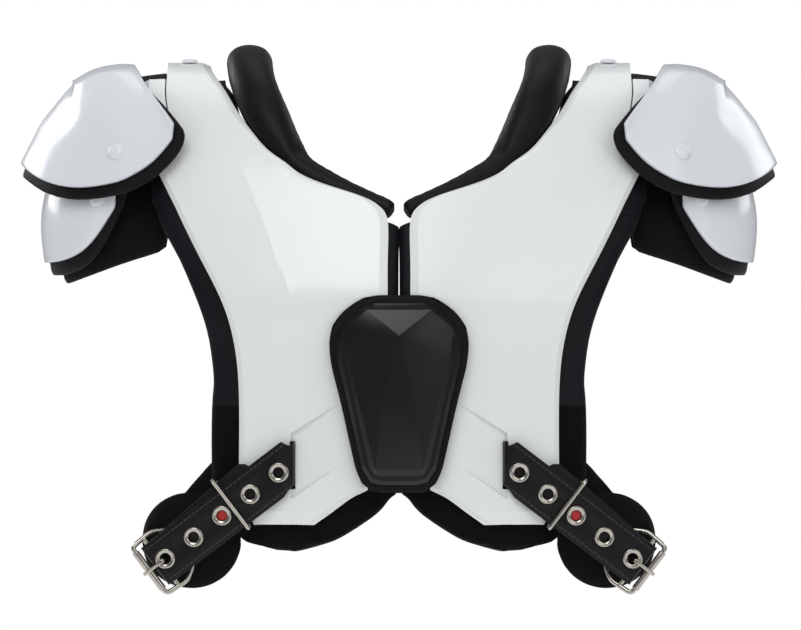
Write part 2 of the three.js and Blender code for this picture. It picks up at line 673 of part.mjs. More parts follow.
// Belt: its own frame has u along the belt to the buckle, v across it and w away from the
// chest, with its origin on the belt's face at the last eyelet
const EYELETS = 5;
const FIRST_EYELET = { x: 0.318, down: 0.845 };
const BELT_LIFT = 5;            // belt's face over the chest at the first eyelet
const BELT_SPREAD = 12;         // how much the chest falls back under the belt's run
const beltRun = EYELET_PITCH * (EYELETS - 1);
const slope = THREE.MathUtils.degToRad(BELT_ANGLE);
const firstX = across(FIRST_EYELET.x);
const firstZ = down(FIRST_EYELET.down);
const beltStart = new THREE.Vector3(firstX, -chestDepth(firstX, firstZ) - BELT_LIFT, firstZ);
const beltU = new THREE.Vector3(Math.cos(slope), BELT_SPREAD / beltRun, -Math.sin(slope)).normalize();
const beltW = new THREE.Vector3(0, -1, 0).addScaledVector(beltU, beltU.y).normalize();
const beltV = beltW.clone().cross(beltU);
const beltOrigin = beltStart.clone().addScaledVector(beltU, beltRun);
const beltPlace = new THREE.Matrix4().makeBasis(beltU, beltV, beltW).setPosition(beltOrigin);

const FOLD_INSIDE = WIRE / 2 + 1.6;                    // room for the prong's eye round the bar
const foldMiddle = new THREE.Vector2(4, -BELT - FOLD_INSIDE);
const frameTilt = Math.asin((-(BELT + FOLD_INSIDE) + ROLLER / 2 - 1) / -FRAME_FRONT);
const rollerAt = foldMiddle.clone().add(
  new THREE.Vector2(Math.cos(frameTilt), Math.sin(frameTilt)).multiplyScalar(FRAME_FRONT));
const UNDER_GAP = 0.4;
const UNDER_LENGTH = 79;       // the folded layer, from the fold to its free end
const UNDER_SHIFT = 5;         // how far that end lies off the upper layer's line
const TAIL_SHARE = 0.76;       // the belt narrows to this share of its width in the slot
const TAIL_SHIFT = -1.5;

// One strip of belt: stations along it with the middle line in u and w, and a shift in v
function strip(stations, width, wall) {
  const rings = stations.map((s, i) => {
    const before = stations[Math.max(0, i - 1)];
    const after = stations[Math.min(stations.length - 1, i + 1)];
    const along = new THREE.Vector2(after.u - before.u, after.w - before.w).normalize();
    const [nu, nw] = [-along.y * wall / 2, along.x * wall / 2];
    const half = (s.width ?? width) / 2;
    const shift = s.shift ?? 0;
    const skew = s.skew ?? 0;
    return [[-half, -1], [half, -1], [half, 1], [-half, 1]].map(([v, face]) => (
      new THREE.Vector3(s.u + nu * face + v * skew, v + shift, s.w + nw * face)));
  });
  return loft(rings);
}

function beltStations() {
  const mid = -BELT / 2;
  const slotX = across(SLOT_PLACE) + SLOT / 2;
  const tail = (slotX - beltOrigin.x - TAIL_SHIFT * beltV.x) / beltU.x;
  const narrow = BELT_WIDTH * TAIL_SHARE;
  const skew = -Math.tan(slope);
  const stations = [
    { u: tail, w: mid - BELT_LIFT - PLATE - 1, skew, width: narrow, shift: TAIL_SHIFT },
    { u: tail, w: mid - BELT_LIFT, skew, width: narrow, shift: TAIL_SHIFT },
    { u: tail + 0.7, w: mid - 1.6, skew, width: narrow, shift: TAIL_SHIFT },
    { u: tail + 3, w: mid - 0.1, skew, width: narrow, shift: TAIL_SHIFT },
    { u: tail + 7, w: mid, skew: skew * 0.9 },
    { u: foldMiddle.x, w: mid },
  ];
  const radius = FOLD_INSIDE + BELT / 2;
  for (const degrees of [30, 60, 90, 120, 150, 180]) {
    const angle = THREE.MathUtils.degToRad(degrees);
    stations.push({
      u: foldMiddle.x + radius * Math.sin(angle), w: foldMiddle.y + radius * Math.cos(angle) });
  }
  const under = mid - BELT - UNDER_GAP;
  const end = foldMiddle.x - UNDER_LENGTH;
  stations.push({ u: foldMiddle.x - 8, w: (foldMiddle.y - radius) * 0.8 + under * 0.2, shift: 0.5 });
  stations.push({ u: foldMiddle.x - 17, w: (foldMiddle.y - radius) * 0.3 + under * 0.7, shift: 1 });
  stations.push({ u: foldMiddle.x - 25, w: under, shift: 1.6 });
  stations.push({ u: end + 5, w: under, shift: UNDER_SHIFT });
  stations.push({ u: end + 1.5, w: under, shift: UNDER_SHIFT, width: BELT_WIDTH * 0.82 });
  stations.push({ u: end, w: under, shift: UNDER_SHIFT, width: BELT_WIDTH * 0.6 });
  return stations;
}

// A round bar along the w axis, used to bore the belt
const borer = (radius, from, to, sides = 8) => new THREE.CylinderGeometry(radius, radius, to - from, sides)
  .rotateX(Math.PI / 2).translate(0, 0, (from + to) / 2);

function belt() {
  let solid = toSolid(outward(strip(beltStations(), BELT_WIDTH, BELT)));
  for (let i = 0; i < EYELETS; i += 1) {
    const bore = borer(EYELET_BORE / 2 + 1, -BELT - UNDER_GAP / 2, 1).translate(-EYELET_PITCH * i, 0, 0);
    solid = solid.subtract(toSolid(bore));
  }
  const prongSlot = new THREE.BoxGeometry(9, PRONG + 2, 14).translate(5.5, 0, -7.4);
  solid = solid.subtract(toSolid(prongSlot));
  return fromSolid(solid);
}

function eyelet() {
  const [bore, outer] = [EYELET_BORE / 2, EYELET_OUTER / 2];
  const low = -BELT + 0.2;
  const profile = [
    [bore, low], [bore + 0.7, low], [bore + 0.7, SEAM * 0.6], [outer, SEAM * 0.6],
    [(bore + outer) / 2 + 0.6, EYELET_RISE + 0.3], [bore, EYELET_RISE * 0.5], [bore, low],
  ].map(([r, w]) => new THREE.Vector2(r, w));
  return new THREE.LatheGeometry(profile, 8).rotateX(Math.PI / 2);
}

// A closed loop of wire through corner points that lie in one plane; fillet rounds a corner
function wireLoop(corners, radius, sides, fillet) {
  const line = [];
  corners.forEach((p, i) => {
    const before = corners[(i + corners.length - 1) % corners.length];
    const after = corners[(i + 1) % corners.length];
    const a = p.clone().addScaledVector(before.clone().sub(p).normalize(), fillet);
    const b = p.clone().addScaledVector(after.clone().sub(p).normalize(), fillet);
    line.push(...new THREE.QuadraticBezierCurve3(a, p, b).getPoints(3));
  });
  const flat = corners[1].clone().sub(corners[0]).cross(corners[2].clone().sub(corners[0])).normalize();
  const rings = line.map((p, i) => {
    const before = line[(i + line.length - 1) % line.length];
    const after = line[(i + 1) % line.length];
    const along = after.clone().sub(before).normalize();
    const out = along.clone().cross(flat).normalize();
    return Array.from({ length: sides }, (_, k) => {
      const angle = (k / sides) * Math.PI * 2;
      return p.clone().addScaledVector(out, Math.cos(angle) * radius)
        .addScaledVector(flat, Math.sin(angle) * radius);
    });
  });
  return loft(rings, true);
}

// Frame of the buckle: a tilted loop with the middle bar that the belt folds round
function buckleFrame() {
  const half = FRAME_WIDTH / 2;
  const at = (along, v) => new THREE.Vector3(
    foldMiddle.x + along * Math.cos(frameTilt), v, foldMiddle.y + along * Math.sin(frameTilt));
  const loop = wireLoop([at(FRAME_FRONT, -half), at(FRAME_FRONT, half), at(-FRAME_REAR * 0.4, half + 1),
    at(-FRAME_REAR, half - 4), at(-FRAME_REAR, -half + 4), at(-FRAME_REAR * 0.4, -half - 1)], WIRE / 2, 6, 3);
  const bar = new THREE.CylinderGeometry(WIRE / 2 - 0.1, WIRE / 2 - 0.1, FRAME_WIDTH + 1, 8)
    .translate(foldMiddle.x, 0, foldMiddle.y);
  return fromSolid(toSolid(outward(loop)).add(toSolid(bar)));
}

const ROLLER_SHORT = 4.2;       // how far each end stops short of the frame's side
function buckleRoller() {
  const [inner, outer] = [WIRE / 2 + 0.25, ROLLER / 2];
  const half = FRAME_WIDTH / 2 - ROLLER_SHORT;
  const profile = [[inner, -half], [outer, -half], [outer, half], [inner, half], [inner, -half]]
    .map(([r, y]) => new THREE.Vector2(r, y));
  return new THREE.LatheGeometry(profile, 10).translate(rollerAt.x, 0, rollerAt.y);
}

// Prong: an eye round the middle bar, a neck up through the eyelet and a straight finger
// that rests on the roller
const prongTop = Math.max(rollerAt.y + ROLLER / 2, EYELET_RISE + 0.3) + 0.3 + PRONG / 2;
function buckleProng() {
  const eyeProfile = [[WIRE / 2 + 0.2, -PRONG / 2], [WIRE / 2 + 1.3, -PRONG / 2],
    [WIRE / 2 + 1.3, PRONG / 2], [WIRE / 2 + 0.2, PRONG / 2], [WIRE / 2 + 0.2, -PRONG / 2]]
    .map(([r, y]) => new THREE.Vector2(r, y));
  const eye = new THREE.LatheGeometry(eyeProfile, 8).translate(foldMiddle.x, 0, foldMiddle.y);
  const neckX = foldMiddle.x - WIRE / 2 - 0.9;
  const stations = [
    { u: neckX, w: foldMiddle.y + 0.4 }, { u: neckX - 0.3, w: -1 }, { u: neckX, w: prongTop - 1.2 },
    { u: neckX + 1.3, w: prongTop }, { u: rollerAt.x - 1, w: prongTop },
    { u: rollerAt.x + 2, w: prongTop - 0.4 }, { u: rollerAt.x + 3.2, w: prongTop - 1.2 },
  ];
  const finger = strip(stations, PRONG * 0.9, PRONG * 0.8);
  return fromSolid(toSolid(eye).add(toSolid(outward(finger))));
}

const KEEPER_SPARE = 4.2;       // how far it stands past the belt's lower edge
const KEEPER_FILLET = 1.6;
const KEEPER_AFTER = 2.2;       // its distance from the third eyelet's rim
function keeper() {
  const half = BELT_WIDTH / 2 + WIRE / 2 + 0.5;
  const far = half + KEEPER_SPARE;
  const top = WIRE / 2 + 0.3;
  const low = -2 * BELT - UNDER_GAP - WIRE / 2 - 0.4;
  const at = (v, w) => new THREE.Vector3(0, v, w);
  return wireLoop([at(-half, top), at(far, top), at(far, low), at(-half, low)], WIRE * 0.42, 5, KEEPER_FILLET)
    .translate(-EYELET_PITCH * 2 - EYELET_OUTER / 2 - KEEPER_AFTER, 0, 0);
}

// Disc behind the buckle, with a tab that runs up behind the liner
const GUARD_CENTRE = { x: 0.552, down: 0.985 };
const GUARD_BACK = 16.8;        // how far its face lies behind the belt's face
const GUARD_EDGE = { inset: 3, sink: 2.5 };     // the disc's slanted edge
const GUARD_TAB = 4;            // thickness of the tab
const guardTab = [[-45, 10], [-24, 14], [6, 26], [-8, 38], [-22, 52], [-45, 50]];
function buckleGuard() {
  const round = (radius, out) => Array.from({ length: 18 }, (_, k) => {
    const angle = (k / 18) * Math.PI * 2;
    return new THREE.Vector3(Math.cos(angle) * radius, Math.sin(angle) * radius, out);
  });
  const { inset, sink } = GUARD_EDGE;
  const disc = toSolid(outward(loft([
    round(GUARD_RADIUS - inset, 0), round(GUARD_RADIUS, -sink),
    round(GUARD_RADIUS, sink - GUARD), round(GUARD_RADIUS - inset, -GUARD)])));
  const tab = new THREE.Shape(guardTab.map(([x, y]) => new THREE.Vector2(x, y)));
  const neck = new THREE.ExtrudeGeometry(tab, { depth: GUARD_TAB, bevelEnabled: false })
    .translate(0, 0, GUARD_TAB - sink - GUARD);
  return fromSolid(disc.add(toSolid(neck)));
}

// Webbing that hinges the cap to the shoulder, between the arch and the cap
const HINGE_HALF = 18;
const HINGE = 1.6;
const HINGE_MIDDLE = 0.65;      // where the arch's curve is taken from, as a share of the half width
const HINGE_SINK = 6.4;         // its face under the arch's face
const hingeLine = [{ x: 0.620, fall: 0 }, { x: 0.665, fall: 1.2 }, { x: 0.704, fall: 2.6 }];

function capHinge() {
  const depth = chestDepth(across(HINGE_MIDDLE), CREASE_Z);
  const rows = [];
  for (const share of [-1, -0.5, 0, 0.5, 1]) {
    const y = share * HINGE_HALF;
    const sag = ARCH_DROP * (1 - Math.sqrt(1 - (y / depth) ** 2));
    rows.push(hingeLine.map(({ x, fall }) => (
      new THREE.Vector3(across(x), y, ARCH_TOP - HINGE_SINK - fall - sag))));
  }
  return shell(flipped(gridSheet(rows)), { wall: HINGE, level: false });
}

// Plain band that joins the two halves of the back
const BAND = 1.8;
const BAND_HALF = 0.22;         // half its length, as a share of the half width
const bandRows = [0.50, 0.56, 0.61];    // down the back, as shares of the body's height
const bandColumns = [-1, -0.66, -0.33, 0, 0.33, 0.66, 1];
function backBand() {
  const rows = bandRows.map((share) => (
    bandColumns.map((x) => bodyPoint(across(x * BAND_HALF), down(share), 1))));
  return shell(flipped(gridSheet(rows)), { wall: BAND, sink: -SEAM - BAND, level: false });
}

const capShell = shell(flipped(capSheet(0)), { wall: PLATE, level: false });
const cupShell = shell(cupSheet(0), { wall: PLATE, level: false });
const plate = chestPlate();
addPair('chest_plate', plate, WHITE);
addPair('back_plate', backPlate(), WHITE);
addPair('front_liner', liner(-1), FOAM);
addPair('back_liner', liner(1), FOAM);
addPair('neck_roll', neckRoll(), FOAM);
addPair('upper_cap', capShell, WHITE);
addPair('upper_cap_pad', shell(flipped(capSheet(CAP_PAD_LIP)), {
  wall: CAP_PAD, sink: PLATE + SEAM, edge: 0.7, level: false }), FOAM);
addPair('lower_cup', cupShell, WHITE);
addPair('lower_cup_pad', shell(cupSheet(CUP_PAD_LIP), {
  wall: CUP_PAD, sink: PLATE + 2 * SEAM, edge: 0.7, level: false }), FOAM);
addPair('deltoid_pad', deltoidPad(), FOAM);
addPair('cap_hinge', capHinge(), FOAM);
addMesh(group, 'back_band', backBand(), FOAM);
addMesh(group, 'sternum_pad', sternumPad(), FOAM);
addMesh(group, 'sternum_plate', sternumPlate(), BLACK);

addPair('belt', belt(), BLACK, beltPlace);
for (let i = 0; i < EYELETS; i += 1) {
  const at = new THREE.Matrix4().makeTranslation(-EYELET_PITCH * (EYELETS - 1 - i), 0, 0);
  addPair(`grommet_${i + 1}`, eyelet(), NICKEL, beltPlace.clone().multiply(at));
}
const marker = borer(EYELET_BORE / 2 - 0.3, -BELT - 0.1, -BELT + 0.5).translate(-EYELET_PITCH * 2, 0, 0);
addPair('red_marker', marker, RED, beltPlace);
addPair('keeper', keeper(), NICKEL, beltPlace);
addPair('buckle_frame', buckleFrame(), NICKEL, beltPlace);
addPair('buckle_roller', buckleRoller(), NICKEL, beltPlace);
addPair('buckle_prong', buckleProng(), NICKEL, beltPlace);
const guardX = across(GUARD_CENTRE.x);
const guardZ = down(GUARD_CENTRE.down);
const guardPoint = new THREE.Vector3(guardX, beltOrigin.y + GUARD_BACK, guardZ);
addPair('buckle_guard', buckleGuard(), FOAM, new THREE.Matrix4().makeBasis(
  new THREE.Vector3(1, 0, 0), new THREE.Vector3(0, 0, 1), new THREE.Vector3(0, -1, 0)).setPosition(guardPoint));

// Rivet heads: where they show in the front view, as shares
const rivets = [
  { name: 'cap_rivet', on: capShell, x: 0.750, down: 0.187 },
  { name: 'cup_rivet', on: cupShell, x: 0.800, down: 0.283 },
];
for (const { name, on, x, down: share } of rivets) {
  const { point, normal } = frontHit(on, across(x), down(share));
  addPair(name, rivetHead(), WHITE, standing(point.addScaledVector(normal, SEAM / 2), normal));
}
const ARCH_RIVET = 0.558;       // as a share of the half width
const archTop = new THREE.Vector3(across(ARCH_RIVET), 0, ARCH_TOP + SEAM / 2);
addPair('arch_rivet', rivetHead(), WHITE, standing(archTop, new THREE.Vector3(0, 0, 1)));

export default group;
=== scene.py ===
from math import radians

import bmesh
import bpy
from mathutils import Matrix, Vector


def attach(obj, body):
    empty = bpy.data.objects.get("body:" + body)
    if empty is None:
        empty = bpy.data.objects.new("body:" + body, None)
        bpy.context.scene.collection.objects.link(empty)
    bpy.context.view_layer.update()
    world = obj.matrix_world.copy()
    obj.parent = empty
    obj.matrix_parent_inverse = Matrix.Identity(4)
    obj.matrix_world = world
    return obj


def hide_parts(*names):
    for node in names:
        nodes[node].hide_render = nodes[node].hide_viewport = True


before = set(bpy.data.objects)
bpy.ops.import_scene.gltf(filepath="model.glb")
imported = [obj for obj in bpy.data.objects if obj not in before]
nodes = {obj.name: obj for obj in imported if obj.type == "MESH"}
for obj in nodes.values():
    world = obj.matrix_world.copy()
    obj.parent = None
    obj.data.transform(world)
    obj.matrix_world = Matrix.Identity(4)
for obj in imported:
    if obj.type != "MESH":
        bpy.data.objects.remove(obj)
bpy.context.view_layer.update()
print("frame loaded,", len(nodes), "nodes")


# Camera: level, in front, a long lens so that the caps keep their width
camera = {"distance": 10.0, "lens": 733.0, "sensor": 36.0, "x": 0.0009, "z": -0.1366}
cameraData = bpy.data.cameras.new("frontCamera")
cameraData.lens = camera["lens"]
cameraData.sensor_width = camera["sensor"]
cameraObject = bpy.data.objects.new("frontCamera", cameraData)
cameraObject.location = (camera["x"], -camera["distance"], camera["z"])
cameraObject.rotation_euler = (radians(90), 0, 0)
bpy.context.scene.collection.objects.link(cameraObject)
bpy.context.scene.camera = cameraObject


# Materials
def linear(hexColour):
    values = [int(hexColour[i:i + 2], 16) / 255 for i in (1, 3, 5)]
    return [v / 12.92 if v <= 0.04045 else ((v + 0.055) / 1.055) ** 2.4 for v in values] + [1.0]


def addNode(tree, kind, settings=None, links=None):
    node = tree.nodes.new(kind)
    for key, value in (settings or {}).items():
        if isinstance(key, int) or key in node.inputs:
            node.inputs[key].default_value = value
        else:
            setattr(node, key, value)
    for key, source in (links or {}).items():
        tree.links.new(source, node.inputs[key])
    return node


def newMaterial(name):
    material = bpy.data.materials.new(name)
    material.use_nodes = True
    tree = material.node_tree
    tree.nodes.clear()
    output = tree.nodes.new("ShaderNodeOutputMaterial")
    shader = tree.nodes.new("ShaderNodeBsdfPrincipled")
    tree.links.new(shader.outputs[0], output.inputs[0])
    place = tree.nodes.new("ShaderNodeTexCoord").outputs["Object"]
    return material, tree, shader, place


# Two colours mixed by a factor
def blended(tree, factor, colour, shade):
    return addNode(tree, "ShaderNodeMix", {
        "data_type": "RGBA", 6: linear(colour), 7: linear(shade)}, {0: factor}).outputs[2]


def bumped(tree, strength, distance, height, under=None):
    links = {"Height": height, "Normal": under} if under else {"Height": height}
    return addNode(tree, "ShaderNodeBump", {"Strength": strength, "Distance": distance}, links).outputs[0]


def noise(tree, place, scale, detail):
    texture = addNode(tree, "ShaderNodeTexNoise", {"Scale": scale, "Detail": detail}, {"Vector": place})
    return texture.outputs["Fac"]


# The factor, which runs from 0 to 1, put between two other values
def between(tree, factor, low, high):
    return addNode(tree, "ShaderNodeMapRange", {"To Min": low, "To Max": high}, {"Value": factor}).outputs[0]


# Injection-moulded polyethylene: gloss with a faint orange peel and a little depth under it
def mouldedPlastic(name, colour, roughness, peel, shade, coat=0.25):
    material, tree, shader, place = newMaterial(name)
    shader.inputs["IOR"].default_value = 1.5
    shader.inputs["Coat Weight"].default_value = coat
    shader.inputs["Coat Roughness"].default_value = 0.12
    clouds = noise(tree, place, 9.0, 2.0)
    tree.links.new(blended(tree, clouds, colour, shade), shader.inputs["Base Color"])
    rough = between(tree, noise(tree, place, 60.0, 3.0), roughness - 0.04, roughness + 0.06)
    tree.links.new(rough, shader.inputs["Roughness"])
    skin = noise(tree, place, 260.0, 1.0)
    tree.links.new(bumped(tree, peel, 0.0003, skin), shader.inputs["Normal"])
    return material


# Satin nylon over foam: a close weave with a soft sheen; the thread is drawn at 0.9 mm,
# coarser than the real 0.25 mm, so that it shows
def satinNylon(name, colour, shade, roughness, thread=0.0009, sheen=0.05):
    material, tree, shader, place = newMaterial(name)
    shader.inputs["IOR"].default_value = 1.5
    shader.inputs["Specular IOR Level"].default_value = 0.22
    shader.inputs["Sheen Weight"].default_value = sheen
    shader.inputs["Sheen Roughness"].default_value = 0.35
    clouds = noise(tree, place, 28.0, 4.0)
    tree.links.new(blended(tree, clouds, colour, shade), shader.inputs["Base Color"])
    turn = addNode(tree, "ShaderNodeMapping", {"Rotation": (radians(35), radians(45), 0)}, {"Vector": place})
    waves = []
    for direction in ("X", "Z"):
        waves.append(addNode(tree, "ShaderNodeTexWave", {
            "bands_direction": direction, "Scale": 0.314 / thread / 2, "Distortion": 0.3,
        }, {"Vector": turn.outputs[0]}).outputs["Fac"])
    weave = addNode(tree, "ShaderNodeMath", {"operation": "MULTIPLY"}, {0: waves[0], 1: waves[1]})
    rough = between(tree, clouds, roughness - 0.05, roughness + 0.08)
    tree.links.new(rough, shader.inputs["Roughness"])
    soft = bumped(tree, 0.35, 0.0012, noise(tree, place, 55.0, 3.0))
    woven = bumped(tree, 0.35, 0.0002, weave.outputs[0], soft)
    tree.links.new(woven, shader.inputs["Normal"])
    return material


whitePlastic = mouldedPlastic("mouldedWhitePolyethylene", "#eff1f1", 0.22, 0.05, "#e8ebec")
capPlastic = mouldedPlastic("mouldedCoolWhitePolyethylene", "#e6e9ee", 0.2, 0.05, "#dfe3e9")
blackPlastic = mouldedPlastic("mouldedBlackPolyethylene", "#060608", 0.3, 0.08, "#0b0b0d", coat=0.0)
rollNylon = satinNylon("satinNylonOverFoam", "#0b0b10", "#121219", 0.46)
liningNylon = satinNylon("closeKnitLining", "#070709", "#0d0d10", 0.8, sheen=0.02)
rimNylon = satinNylon("boundEdgeTape", "#08080a", "#0f0f12", 0.62, sheen=0.03)


# Liner: satin nylon above, brushed loop fabric on the lower third, joined over 2 mm of height
linerJoin = {"top": -0.1905, "foot": -0.1925}


def linerFabric():
    material = satinNylon("satinAndBrushedNylon", "#0c0c12", "#13131b", 0.5)
    tree = material.node_tree
    shader = next(n for n in tree.nodes if n.type == "BSDF_PRINCIPLED")
    place = next(n for n in tree.nodes if n.type == "TEX_COORD").outputs["Object"]
    parts = addNode(tree, "ShaderNodeSeparateXYZ", {}, {0: place})
    lower = addNode(tree, "ShaderNodeMapRange", {"From Min": linerJoin["top"], "From Max": linerJoin["foot"]},
                    {"Value": parts.outputs["Z"]})
    colour = shader.inputs["Base Color"].links[0].from_socket
    blend = addNode(tree, "ShaderNodeMix", {"data_type": "RGBA"}, {0: lower.outputs[0], 6: colour})
    blend.inputs[7].default_value = linear("#050506")
    tree.links.new(blend.outputs[2], shader.inputs["Base Color"])
    rough = shader.inputs["Roughness"].links[0].from_socket
    dull = addNode(tree, "ShaderNodeMix", {"data_type": "FLOAT"}, {0: lower.outputs[0], 2: rough})
    dull.inputs[3].default_value = 0.93
    tree.links.new(dull.outputs[0], shader.inputs["Roughness"])
    fluff = noise(tree, place, 900.0, 3.0)
    nap = addNode(tree, "ShaderNodeMath", {"operation": "MULTIPLY"}, {0: fluff, 1: lower.outputs[0]})
    normal = shader.inputs["Normal"].links[0].from_socket
    tree.links.new(bumped(tree, 0.9, 0.0012, nap.outputs[0], normal), shader.inputs["Normal"])
    return material


# Coated webbing: a row of stitches near each edge, read from the piece's own UV map in metres;
# out is how far the row lies from the middle line, and a stitch comes every two pitches
stitches = {"out": 0.0114, "core": 0.0002, "edge": 0.0006, "pitch": 0.0016, "gap": 0.0003}


def coatedWebbing():
    material, tree, shader, place = newMaterial("coatedBlackWebbing")
    shader.inputs["IOR"].default_value = 1.5
    shader.inputs["Specular IOR Level"].default_value = 0.3
    grain = noise(tree, place, 420.0, 2.0)
    coated = blended(tree, grain, "#070708", "#0e0e10")
    flat = addNode(tree, "ShaderNodeUVMap", {"uv_map": "beltPlace"})
    parts = addNode(tree, "ShaderNodeSeparateXYZ", {}, {0: flat.outputs[0]})
    side = addNode(tree, "ShaderNodeMath", {"operation": "ABSOLUTE"}, {0: parts.outputs["Y"]})
    inset = addNode(tree, "ShaderNodeMath", {"operation": "SUBTRACT", 1: stitches["out"]},
                    {0: side.outputs[0]})
    nearSeam = addNode(tree, "ShaderNodeMath", {"operation": "ABSOLUTE"}, {0: inset.outputs[0]})
    seam = addNode(tree, "ShaderNodeMapRange", {
        "From Min": stitches["core"], "From Max": stitches["edge"], "To Min": 1.0, "To Max": 0.0,
    }, {"Value": nearSeam.outputs[0]})
    step = addNode(tree, "ShaderNodeMath", {"operation": "PINGPONG", 1: stitches["pitch"]},
                   {0: parts.outputs["X"]})
    dash = addNode(tree, "ShaderNodeMapRange", {"From Min": stitches["gap"], "From Max": stitches["edge"]},
                   {"Value": step.outputs[0]})
    stitch = addNode(tree, "ShaderNodeMath", {"operation": "MULTIPLY"},
                     {0: seam.outputs[0], 1: dash.outputs[0]})
    thread = addNode(tree, "ShaderNodeMix", {"data_type": "RGBA", 7: linear("#3a3a3f")},
                     {0: stitch.outputs[0], 6: coated})
    tree.links.new(thread.outputs[2], shader.inputs["Base Color"])
    tree.links.new(between(tree, grain, 0.38, 0.52), shader.inputs["Roughness"])
    skin = bumped(tree, 0.25, 0.0003, grain)
    tree.links.new(bumped(tree, 0.7, 0.0004, stitch.outputs[0], skin), shader.inputs["Normal"])
    return material


# Polished nickel plate: bright, a touch warm, with fine handling marks
def nickelPlate():
    material, tree, shader, place = newMaterial("polishedNickelPlate")
    shader.inputs["Metallic"].default_value = 1.0
    shader.inputs["Base Color"].default_value = linear("#c9c4bb")
    marks = noise(tree, place, 350.0, 4.0)
    tree.links.new(between(tree, marks, 0.12, 0.34), shader.inputs["Roughness"])
    tree.links.new(bumped(tree, 0.08, 0.0002, marks), shader.inputs["Normal"])
    return material


linerNylon = linerFabric()
webbing = coatedWebbing()
nickel = nickelPlate()
redPlastic = mouldedPlastic("mouldedRedMarker", "#c41818", 0.45, 0.05, "#b01414")
print("materials made")


# Making pieces from the frame's nodes
def selectOnly(piece):
    bpy.ops.object.select_all(action="DESELECT")
    piece.select_set(True)
    bpy.context.view_layer.objects.active = piece


def copyOf(nodeName, pieceName, material, toQuads=True):
    mesh = nodes[nodeName].data.copy()
    mesh.name = pieceName
    piece = bpy.data.objects.new(pieceName, mesh)
    bpy.context.scene.collection.objects.link(piece)
    mesh.materials.clear()
    mesh.materials.append(material)
    selectOnly(piece)
    if mesh.has_custom_normals:
        bpy.ops.mesh.customdata_custom_splitnormals_clear()
    bpy.ops.object.mode_set(mode="EDIT")
    bpy.ops.mesh.select_all(action="SELECT")
    bpy.ops.mesh.remove_doubles(threshold=0.00002)
    if toQuads:
        bpy.ops.mesh.tris_convert_to_quads(face_threshold=radians(40), shape_threshold=radians(50))
    bpy.ops.object.mode_set(mode="OBJECT")
    return piece


def creaseLayer(work):
    layers = work.edges.layers.float
    return layers.get("crease_edge") or layers.new("crease_edge")


# Edges get a crease that grows with their angle: [(degrees, crease), ...]
def creaseByAngle(piece, steps):
    work = bmesh.new()
    work.from_mesh(piece.data)
    layer = creaseLayer(work)
    for edge in work.edges:
        if len(edge.link_faces) != 2:
            continue
        turned = edge.calc_face_angle(0.0)
        for degrees, crease in steps:
            if turned >= radians(degrees):
                edge[layer] = crease
    work.to_mesh(piece.data)
    work.free()


# The bevelled rim is one face wide all round, so the line inside it is the edge opposite
# each edge of the wall
def creaseRim(piece, crease, least=7, wallAngle=55):
    work = bmesh.new()
    work.from_mesh(piece.data)
    layer = creaseLayer(work)
    walls = {e for e in work.edges if len(e.link_faces) == 2 and e.calc_face_angle(0.0) > radians(wallAngle)}
    for wall in walls:
        for face in wall.link_faces:
            for edge in face.edges:
                apart = not set(edge.verts) & set(wall.verts)
                if apart and edge not in walls and edge.calc_face_angle(0.0) > radians(least):
                    edge[layer] = max(edge[layer], crease)
    work.to_mesh(piece.data)
    work.free()


# Subdivision draws a surface in from its cage, so the cage is first pushed out until
# the rounded surface passes through the frame's own points again; each pass makes up
# most of what is missing
def subdivided(piece, levels, passes=4, share=0.85):
    selectOnly(piece)
    modifier = piece.modifiers.new("roundOff", "SUBSURF")
    modifier.levels = modifier.render_levels = levels
    targets = [v.co.copy() for v in piece.data.vertices]
    for _ in range(passes):
        rounded = piece.evaluated_get(bpy.context.evaluated_depsgraph_get()).data.vertices
        for vertex, target in zip(piece.data.vertices, targets):
            vertex.co += (target - rounded[vertex.index].co) * share
        piece.data.update()
        bpy.context.view_layer.update()
    bpy.ops.object.modifier_apply(modifier=modifier.name)
    bpy.ops.object.shade_smooth()


def roundEdges(piece, width, segments, least):
    selectOnly(piece)
    modifier = piece.modifiers.new("roundedEdges", "BEVEL")
    modifier.width = width
    modifier.segments = segments
    modifier.angle_limit = radians(least)
    bpy.ops.object.modifier_apply(modifier=modifier.name)
    bpy.ops.object.shade_smooth_by_angle(angle=radians(40))


def evenMesh(piece, voxel):
    selectOnly(piece)
    even = piece.modifiers.new("evenMesh", "REMESH")
    even.mode = "VOXEL"
    even.voxel_size = voxel
    bpy.ops.object.modifier_apply(modifier=even.name)


def moveAlongNormals(piece, distance):
    normals = [vertex.normal.copy() for vertex in piece.data.vertices]
    for vertex, normal in zip(piece.data.vertices, normals):
        vertex.co += normal * distance


# Foam under cloth swells between its edges: the piece starts a little small, is blown
# out as cloth, and no point ends more than limit from where it began
swelling = {"pressure": 8.0, "mass": 0.25, "frames": 20, "shrink": 0.1}


